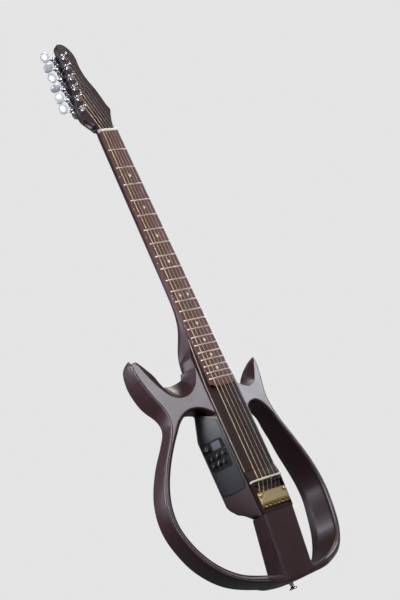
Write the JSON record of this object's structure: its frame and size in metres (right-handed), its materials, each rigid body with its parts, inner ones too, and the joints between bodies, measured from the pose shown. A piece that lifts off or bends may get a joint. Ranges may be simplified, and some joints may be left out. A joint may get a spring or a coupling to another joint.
{
  "type": "silent guitar",
  "caption": "Frame-bodied steel-string silent guitar: slim centre block with preamp panel, open hoop body in two bent halves, bolt-like tailpiece and side tuners.",
  "frame": {"origin": "centre of the end face of the tail strap button, the lowest point of the upright guitar", "axes": "+Z along the neck towards the head, -Y out of the strings, +X towards the thinnest string's side"},
  "size_m": [0.3838, 0.109, 1.0356],
  "materials": {
    "satin_wood": "satin dark burgundy-brown lacquer",
    "plate_wood": "satin open-pored dark wood",
    "rosewood": "oiled reddish-brown wood",
    "bone": "polished ivory white",
    "gold": "brushed gold plate",
    "chrome": "polished",
    "bronze": "wound bronze wire",
    "steel": "plain bright steel",
    "plastic": "satin charcoal",
    "knob_plastic": "satin black",
    "display": "clear window over a pale grey display",
    "board": "solder mask green",
    "battery_sleeve": "printed sleeve, left plain"
  },
  "bodies": {
    "guitar": {"neck": "satin_wood", "fretboard": "rosewood", "truss_rod_cover": "knob_plastic", "nut": "bone", "truss_rod": "steel", "tuner_housing_1": "chrome", "tuner_housing_2": "chrome", "tuner_housing_3": "chrome", "tuner_housing_4": "chrome", "tuner_housing_5": "chrome", "tuner_housing_6": "chrome", "string_1": "bronze", "string_2": "bronze", "string_3": "bronze", "string_4": "bronze", "string_5": "steel", "string_6": "steel", "core_body": "satin_wood", "top_plate": "plate_wood", "bass_rim": "satin_wood", "treble_rim": "satin_wood", "bass_wing": "satin_wood", "treble_wing": "satin_wood", "bridge_block": "plate_wood", "piezo_pickup": "steel", "saddle": "bone", "tailpiece": "gold", "tailpiece_screw_bass": "gold", "tailpiece_screw_treble": "gold", "tail_beam": "satin_wood", "control_panel": "plastic", "display_window": "display", "preamp_board": "board", "battery": "battery_sleeve", "output_jack": "steel", "headphone_jack": "steel", "strap_button_tail": "steel", "strap_button_heel": "steel"},
    "peg_1": {"tuner_button_1": "chrome"},
    "peg_2": {"tuner_button_2": "chrome"},
    "peg_3": {"tuner_button_3": "chrome"},
    "peg_4": {"tuner_button_4": "chrome"},
    "peg_5": {"tuner_button_5": "chrome"},
    "peg_6": {"tuner_button_6": "chrome"},
    "post_1": {"tuner_post_1": "gold"},
    "post_2": {"tuner_post_2": "gold"},
    "post_3": {"tuner_post_3": "gold"},
    "post_4": {"tuner_post_4": "gold"},
    "post_5": {"tuner_post_5": "gold"},
    "post_6": {"tuner_post_6": "gold"},
    "volume": {"volume_knob": "knob_plastic"},
    "tone_1": {"tone_knob_1": "knob_plastic"},
    "tone_2": {"tone_knob_2": "knob_plastic"},
    "tone_3": {"tone_knob_3": "knob_plastic"},
    "tone_4": {"tone_knob_4": "knob_plastic"},
    "tone_5": {"tone_knob_5": "knob_plastic"},
    "tone_6": {"tone_knob_6": "knob_plastic"},
    "switch": {"slide_switch": "knob_plastic"},
    "hatch": {"battery_cover": "plastic"}
  },
  "joints": [
    {"name": "peg_1_turn", "type": "hinge", "parent": "guitar", "child": "peg_1", "pos_m": [-0.02903, -0.01386, 0.89263], "axis": [-0.9495, 0.0679, 0.3064], "continuous": true},
    {"name": "peg_2_turn", "type": "hinge", "parent": "guitar", "child": "peg_2", "pos_m": [-0.02113, -0.00869, 0.91597], "axis": [-0.9495, 0.0679, 0.3064], "continuous": true},
    {"name": "peg_3_turn", "type": "hinge", "parent": "guitar", "child": "peg_3", "pos_m": [-0.01323, -0.00352, 0.9393], "axis": [-0.9495, 0.0679, 0.3064], "continuous": true},
    {"name": "peg_4_turn", "type": "hinge", "parent": "guitar", "child": "peg_4", "pos_m": [-0.00533, 0.00166, 0.96264], "axis": [-0.9495, 0.0679, 0.3064], "continuous": true},
    {"name": "peg_5_turn", "type": "hinge", "parent": "guitar", "child": "peg_5", "pos_m": [0.00257, 0.00683, 0.98597], "axis": [-0.9495, 0.0679, 0.3064], "continuous": true},
    {"name": "peg_6_turn", "type": "hinge", "parent": "guitar", "child": "peg_6", "pos_m": [0.01047, 0.012, 1.0093], "axis": [-0.9495, 0.0679, 0.3064], "continuous": true},
    {"name": "post_1_turn", "type": "hinge", "parent": "guitar", "child": "post_1", "pos_m": [-0.023, -0.03203, 0.88599], "axis": [0, -0.9763, 0.2164], "continuous": true},
    {"name": "post_2_turn", "type": "hinge", "parent": "guitar", "child": "post_2", "pos_m": [-0.0151, -0.02686, 0.90932], "axis": [0, -0.9763, 0.2164], "continuous": true},
    {"name": "post_3_turn", "type": "hinge", "parent": "guitar", "child": "post_3", "pos_m": [-0.0072, -0.02169, 0.93266], "axis": [0, -0.9763, 0.2164], "continuous": true},
    {"name": "post_4_turn", "type": "hinge", "parent": "guitar", "child": "post_4", "pos_m": [0.0007, -0.01651, 0.95599], "axis": [0, -0.9763, 0.2164], "continuous": true},
    {"name": "post_5_turn", "type": "hinge", "parent": "guitar", "child": "post_5", "pos_m": [0.0086, -0.01134, 0.97932], "axis": [0, -0.9763, 0.2164], "continuous": true},
    {"name": "post_6_turn", "type": "hinge", "parent": "guitar", "child": "post_6", "pos_m": [0.0165, -0.00617, 1.00266], "axis": [0, -0.9763, 0.2164], "continuous": true},
    {"name": "volume_turn", "type": "hinge", "parent": "guitar", "child": "volume", "pos_m": [-0.05356, -0.0012, 0.2614], "axis": [-0.9134, -0.4071, 0], "range_deg": [-140, 140]},
    {"name": "tone_1_turn", "type": "hinge", "parent": "guitar", "child": "tone_1", "pos_m": [-0.05319, -0.00203, 0.2435], "axis": [-0.9134, -0.4071, 0], "range_deg": [-140, 140]},
    {"name": "tone_2_turn", "type": "hinge", "parent": "guitar", "child": "tone_2", "pos_m": [-0.04868, -0.01216, 0.2445], "axis": [-0.9134, -0.4071, 0], "range_deg": [-140, 140]},
    {"name": "tone_3_turn", "type": "hinge", "parent": "guitar", "child": "tone_3", "pos_m": [-0.04416, -0.0223, 0.2452], "axis": [-0.9134, -0.4071, 0], "range_deg": [-140, 140]},
    {"name": "tone_4_turn", "type": "hinge", "parent": "guitar", "child": "tone_4", "pos_m": [-0.05376, -0.00075, 0.2316], "axis": [-0.9134, -0.4071, 0], "range_deg": [-140, 140]},
    {"name": "tone_5_turn", "type": "hinge", "parent": "guitar", "child": "tone_5", "pos_m": [-0.04982, -0.00961, 0.2316], "axis": [-0.9134, -0.4071, 0], "range_deg": [-140, 140]},
    {"name": "tone_6_turn", "type": "hinge", "parent": "guitar", "child": "tone_6", "pos_m": [-0.04587, -0.01847, 0.2316], "axis": [-0.9134, -0.4071, 0], "range_deg": [-140, 140]},
    {"name": "switch_slide", "type": "slide", "parent": "guitar", "child": "switch", "axis": [-0.4071, 0.9134, 0], "range_m": [-0.0035, 0.0035]},
    {"name": "hatch_hinge", "type": "hinge", "parent": "guitar", "child": "hatch", "pos_m": [-0.012, 0.0178, 0.21875], "axis": [-1, 0, 0], "range_deg": [0, 110]}
  ],
  "couplings": [
    {"joint": "post_1_turn", "follows": "peg_1_turn", "ratio": 0.066667},
    {"joint": "post_2_turn", "follows": "peg_2_turn", "ratio": 0.066667},
    {"joint": "post_3_turn", "follows": "peg_3_turn", "ratio": 0.066667},
    {"joint": "post_4_turn", "follows": "peg_4_turn", "ratio": 0.066667},
    {"joint": "post_5_turn", "follows": "peg_5_turn", "ratio": 0.066667},
    {"joint": "post_6_turn", "follows": "peg_6_turn", "ratio": 0.066667}
  ]
}
